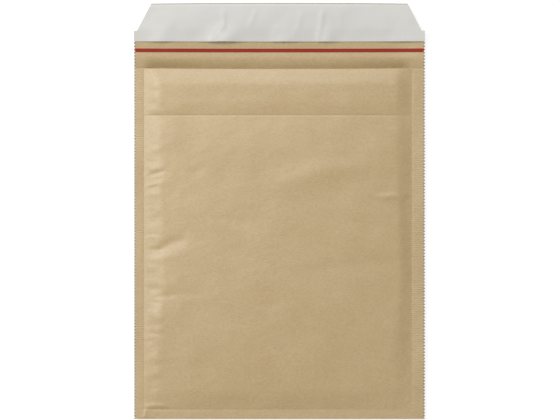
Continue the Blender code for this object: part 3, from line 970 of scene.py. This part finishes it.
class ENVELOPE_OT_kraft_sheet(Operator):
    """Folds the kraft sheet: flap, back panel, bottom fold, front panel, mouth edge and hem"""

    bl_idname = "envelope.kraft_sheet"
    bl_label = "Kraft sheet"

    def execute(self, context):
        scene = context.scene
        form = Form(scene)
        points, sides = edge_rows(form, kraft_rows(form))
        mesh = sheet_mesh("kraft_sheet", points)
        places = np.array(points)
        x, y = places[..., 0], places[..., 1]
        # Painted shade for the cut edges: the teeth's tips in full, their roots less, and the flap's plain
        # tip a little
        root_shade = 0.22
        tip_shade = 0.35
        foot_seal = 0.4
        phase = np.mod((LINER_Y - y) / (form.trim.tooth_pitch / 2), 2)
        cut = np.abs(sides) * mix(root_shade, 1.0, 1 - np.abs(1 - phase))
        cut[0] = tip_shade
        give_values(mesh, "cut", cut)
        edge = 0.4 * MM
        seam = np.maximum(smooth(form.left_x - x, -edge, edge), smooth(x - form.right_x, -edge, edge))
        foot = smooth(form.pad_y - y, -edge, edge)
        give_values(mesh, "seal", np.maximum(seam, foot_seal * foot) * (y < form.mouth_y))
        made = pinked(mesh, sides, form.trim, kraft_paper(scene.envelope_colours), KRAFT)
        own(made, "kraft_shell")
        return {"FINISHED"}


class ENVELOPE_OT_bubble_lining(Operator):
    """Lines the pouch with bubble film, folded at the foot and welded into the side seams"""

    bl_idname = "envelope.bubble_lining"
    bl_label = "Bubble lining"

    def film_rows(self, form):
        """Rows of the film: the back wall from the mouth down, the fold, and the front wall."""
        inside = form.lining_mouth_y - 3 * MM
        step = 4.5 * MM
        places = merged(even(form.pad_y, inside, step), [form.hem_y - MM, form.hem_y])
        spans = (
            (-LINING_SIDE, form.left_x, 4 * MM),
            (form.left_x, form.left_end, 3 * MM),
            (form.left_end, form.right_end, 6 * MM),
            (form.right_end, form.right_x, 3 * MM),
            (form.right_x, LINING_SIDE, 4 * MM),
        )
        columns = np.array(merged(*(even(*span) for span in spans)))
        skin = PLY_STEP + FILM / 2
        left_clear = 5 * MM
        right_clear = 4 * MM

        def row(y, level):
            x = columns
            # Under the hem the film stays clear of the seams, where the hem's paper comes down
            if y > form.hem_y - MM / 2:
                x = np.clip(x, form.left_x + left_clear, form.right_x - right_clear)
            place = form.drawn(x, y) if level == over else np.full_like(x, y)
            return np.column_stack([x, place, at(level, x, y)])

        def under(x, y):
            level = laid_clear(form.back, x, y, step, 1)[0] + skin
            return np.minimum(level, form.middle(x, y) - FILM)

        def over(x, y):
            level = laid_clear(form.front, x, y, step, -1)[0] - skin
            return np.maximum(level, form.middle(x, y) + FILM)

        rows = [row(y, under) for y in reversed(places)]
        fold = np.full_like(columns, form.fold_y)
        rows.append(np.column_stack([columns, fold, form.sizes.seam_level + form.margin(columns, fold)]))
        rows += [row(y, over) for y in places]
        return rows

    def bubble_points(self, form):
        """A row of numbers for each bubble: its place, its height, and which way it stands."""
        trim = form.trim
        pitch = trim.bubble_pitch
        row_step = pitch * math.sqrt(3) / 2
        clear = trim.bubble_width / 2
        bubbles = []
        rows = int((form.lining_mouth_y - form.pad_y - 2 * clear) / row_step) + 1
        for row in range(rows):
            start = form.left_x + clear + (pitch / 2 if row % 2 else 0)
            x = np.arange(start, form.right_x - clear, pitch)
            y = np.full_like(x, form.pad_y + clear + row * row_step)
            for level, inner, up in ((form.back, form.floor, 1), (form.front, form.roof, -1)):
                face, slope_x, slope_y = laid_clear(level, x, y, clear, up)
                base = face + up * (PLY_STEP + FILM / 2)
                room = up * (inner(x, y) - base) - FILM
                stand = (-up * slope_x, -up * slope_y, np.full_like(x, up))
                bubbles.extend(np.column_stack([x, y, base, room, *stand])[room > LOWEST_BUBBLE])
        return np.array(bubbles)

    def execute(self, context):
        scene = context.scene
        form = Form(scene)
        rows = self.film_rows(form)
        film = link("lining_film", sheet_mesh("lining_film", rows))
        face_out(film.data, weld=FILM / 4)
        thicken(film, FILM)
        settle(film, "lining_film")
        bubbles = self.bubble_points(form)
        mesh = bpy.data.meshes.new("bubble_lining_film")
        mesh.from_pydata(bubbles[:, :3].tolist(), [], [])
        for name, values in zip(BUBBLE_VALUES, bubbles.T[3:]):
            give_values(mesh, name, values)
        made = link("bubble_lining_film", mesh)
        material = bubble_film(scene.envelope_colours)
        node_modifier(made, bubble_tree(), Film=film, Width=form.trim.bubble_width, Material=material)
        settle(made, "bubble_lining_film")
        bpy.data.objects.remove(film)
        face_out(made.data)
        own(made, "bubble_lining")
        return {"FINISHED"}


class ENVELOPE_OT_tear_tape(Operator):
    """Lays the red tear tape across the foot of the flap"""

    bl_idname = "envelope.tear_tape"
    bl_label = "Tear tape"

    def execute(self, context):
        scene = context.scene
        form = Form(scene)
        places = merged([TAPE_FOOT_Y], form.tooth_rows(TAPE_FOOT_Y, TAPE_HEAD_Y), [TAPE_HEAD_Y])
        above = 0.27 * MM  # middle of the flap's paper to the middle of the tape
        rows = [(None, lambda x, y=y: (y, at(form.flap, x, y) + above)) for y in places]
        points, sides = edge_rows(form, rows)
        mesh = sheet_mesh("tear_tape_strip", points)
        face_up(mesh)
        made = pinked(mesh, sides, form.trim, tear_tape(scene.envelope_colours), TAPE)
        own(made, "tear_tape")
        return {"FINISHED"}


class ENVELOPE_OT_adhesive(Operator):
    """Combs the hot-melt adhesive onto the flap, under the liner"""

    bl_idname = "envelope.adhesive"
    bl_label = "Adhesive"

    def execute(self, context):
        form = Form(context.scene)
        columns = np.array(even(ADHESIVE_LOW[0], ADHESIVE_HIGH[0], 4 * MM))
        rows = []
        above = 0.30 * MM  # middle of the flap's paper to the middle of the adhesive
        bead_height = 0.05 * MM
        for y in even(ADHESIVE_LOW[1], ADHESIVE_HIGH[1], BEAD_PITCH / 4):
            bead = bead_height * abs(math.sin(math.pi * y / BEAD_PITCH))
            place = np.full_like(columns, y)
            rows.append(np.column_stack([columns, place, form.flap(columns, place) + above + bead]))
        made = strip("adhesive_comb", rows, hot_melt(context.scene.envelope_colours), ADHESIVE)
        own(made, "adhesive_strip")
        return {"FINISHED"}


class ENVELOPE_OT_release_liner(Operator):
    """Lays the release liner over the adhesive, with its soft folds and lifted lower edge"""

    bl_idname = "envelope.release_liner"
    bl_label = "Release liner"

    def execute(self, context):
        form = Form(context.scene)
        short = 0.8 * MM
        step = 0.9 * MM
        places = even(LINER_Y + HAIR, form.step_y, step) + even(form.step_y + HAIR, TIP_Y - short, step)
        columns = np.array(even(-HALF_WIDTH, HALF_WIDTH, 1.4 * MM))
        rows = []
        for y in sorted(places):
            x = columns * form.half_width(y) / HALF_WIDTH
            place = np.full_like(x, y)
            rows.append(np.column_stack([x, bowed(form, x, place), form.liner(x, place)]))
        made = strip("glassine_liner", rows, release_paper(context.scene.envelope_colours), LINER)
        own(made, "release_liner")
        return {"FINISHED"}


class ENVELOPE_OT_stage(Operator):
    """Sets up the floor, the light and the camera"""

    bl_idname = "envelope.stage"
    bl_label = "Stage"

    def floor(self):
        """A white floor, which the camera sees as white outside the envelope's soft shadow."""
        half = 6.0
        mesh = bpy.data.meshes.new("floor")
        corners = [(-half, -half), (half, -half), (half, half), (-half, half)]
        mesh.from_pydata([(x, y, -GAP) for x, y in corners], [], [(0, 1, 2, 3)])
        made, tree, shader = new_material("white_table")
        matt = {"Base Color": (0.8, 0.8, 0.8, 1), "Roughness": 0.9, "Specular IOR Level": 0.0}
        plug(tree, shader, matt)
        shaded = add_node(tree, "ShaderNodeBsdfDiffuse", {"Color": (0.42, 0.42, 0.42, 1)})
        bright = add_node(tree, "ShaderNodeEmission", {"Color": (1, 1, 1, 1), "Strength": 0.73})
        seen = add_node(tree, "ShaderNodeAddShader", {0: shaded, 1: bright})
        both = add_node(tree, "ShaderNodeMixShader", {0: self.seen_ray(tree), 1: shader, 2: seen})
        plug(tree, tree.nodes["Material Output"], {"Surface": both})
        mesh.materials.append(made)
        link("floor", mesh)

    def seen_ray(self, tree):
        """1 for a ray from the camera, or one that a mirror or glass passes on."""
        path = add_node(tree, "ShaderNodeLightPath").outputs
        seen = path["Is Camera Ray"]
        for kind in ("Is Glossy Ray", "Is Transmission Ray"):
            seen = add_node(tree, "ShaderNodeMath", {0: seen, 1: path[kind]}, operation="MAXIMUM")
        return seen

    def sky(self, scene, strength):
        world = bpy.data.worlds.new("studio")
        world.use_nodes = True
        scene.world = world
        tree = world.node_tree
        tree.nodes.clear()
        soft = add_node(tree, "ShaderNodeBackground", {"Color": (1, 1, 1, 1), "Strength": strength})
        white = add_node(tree, "ShaderNodeBackground", {"Color": (1, 1, 1, 1), "Strength": 1.0})
        both = add_node(tree, "ShaderNodeMixShader", {0: self.seen_ray(tree), 1: soft, 2: white})
        add_node(tree, "ShaderNodeOutputWorld", {"Surface": both})

    def lamp(self, stage, name, share, lean):
        """A square soft box, at a level that shows a flat colour as it is written."""
        towards = Vector((*lean, 1.0)).normalized()
        lamp = bpy.data.lights.new(name, "AREA")
        lamp.shape = "SQUARE"
        lamp.size = stage.lamp_size
        lamp.energy = share * math.pi**2 * stage.lamp_distance**2 / towards.z
        made = link(name, lamp)
        made.location = towards * stage.lamp_distance
        made.rotation_euler = towards.to_track_quat("Z", "Y").to_euler()

    def camera(self, scene, stage):
        data = bpy.data.cameras.new("camera")
        data.sensor_width = 36.0
        data.lens = data.sensor_width * stage.view_distance / stage.view_width
        data.clip_end = 20.0
        made = link("camera", data)
        made.location = (stage.view_x, stage.view_y, stage.view_level + stage.view_distance)
        scene.camera = made

    def execute(self, context):
        scene = context.scene
        stage = scene.envelope_stage
        self.floor()
        self.sky(scene, 1 - stage.side_share - stage.top_share)
        self.lamp(stage, "side_light", stage.side_share, stage.side_lean)
        self.lamp(stage, "top_light", stage.top_share, stage.top_lean)
        self.camera(scene, stage)
        scene.view_settings.view_transform = "Standard"
        return {"FINISHED"}


OPERATORS = (
    ENVELOPE_OT_stage,
    ENVELOPE_OT_kraft_sheet,
    ENVELOPE_OT_bubble_lining,
    ENVELOPE_OT_tear_tape,
    ENVELOPE_OT_adhesive,
    ENVELOPE_OT_release_liner,
)


class ENVELOPE_PT_panel(Panel):
    """Lists the pieces, and the sizes and colours that they are made from"""

    bl_idname = "ENVELOPE_PT_panel"
    bl_label = "Padded envelope"
    bl_space_type = "VIEW_3D"
    bl_region_type = "UI"
    bl_category = "Envelope"

    def draw(self, context):
        column = self.layout.column(align=True)
        for operator in OPERATORS:
            column.operator(operator.bl_idname)
        for name, group in GROUPS.items():
            box = self.layout.box()
            for field in group.__annotations__:
                box.prop(getattr(context.scene, name), field)


CLASSES = (*GROUPS.values(), *OPERATORS, ENVELOPE_PT_panel)


def register():
    for registered in CLASSES:
        bpy.utils.register_class(registered)
    for name, group in GROUPS.items():
        setattr(bpy.types.Scene, name, PointerProperty(type=group))


def unregister():
    for name in GROUPS:
        delattr(bpy.types.Scene, name)
    for registered in reversed(CLASSES):
        bpy.utils.unregister_class(registered)


def main():
    register()
    bpy.ops.envelope.stage()
    bpy.ops.envelope.kraft_sheet()
    bpy.ops.envelope.bubble_lining()
    bpy.ops.envelope.tear_tape()
    bpy.ops.envelope.adhesive()
    bpy.ops.envelope.release_liner()


if __name__ == "__main__":
    main()
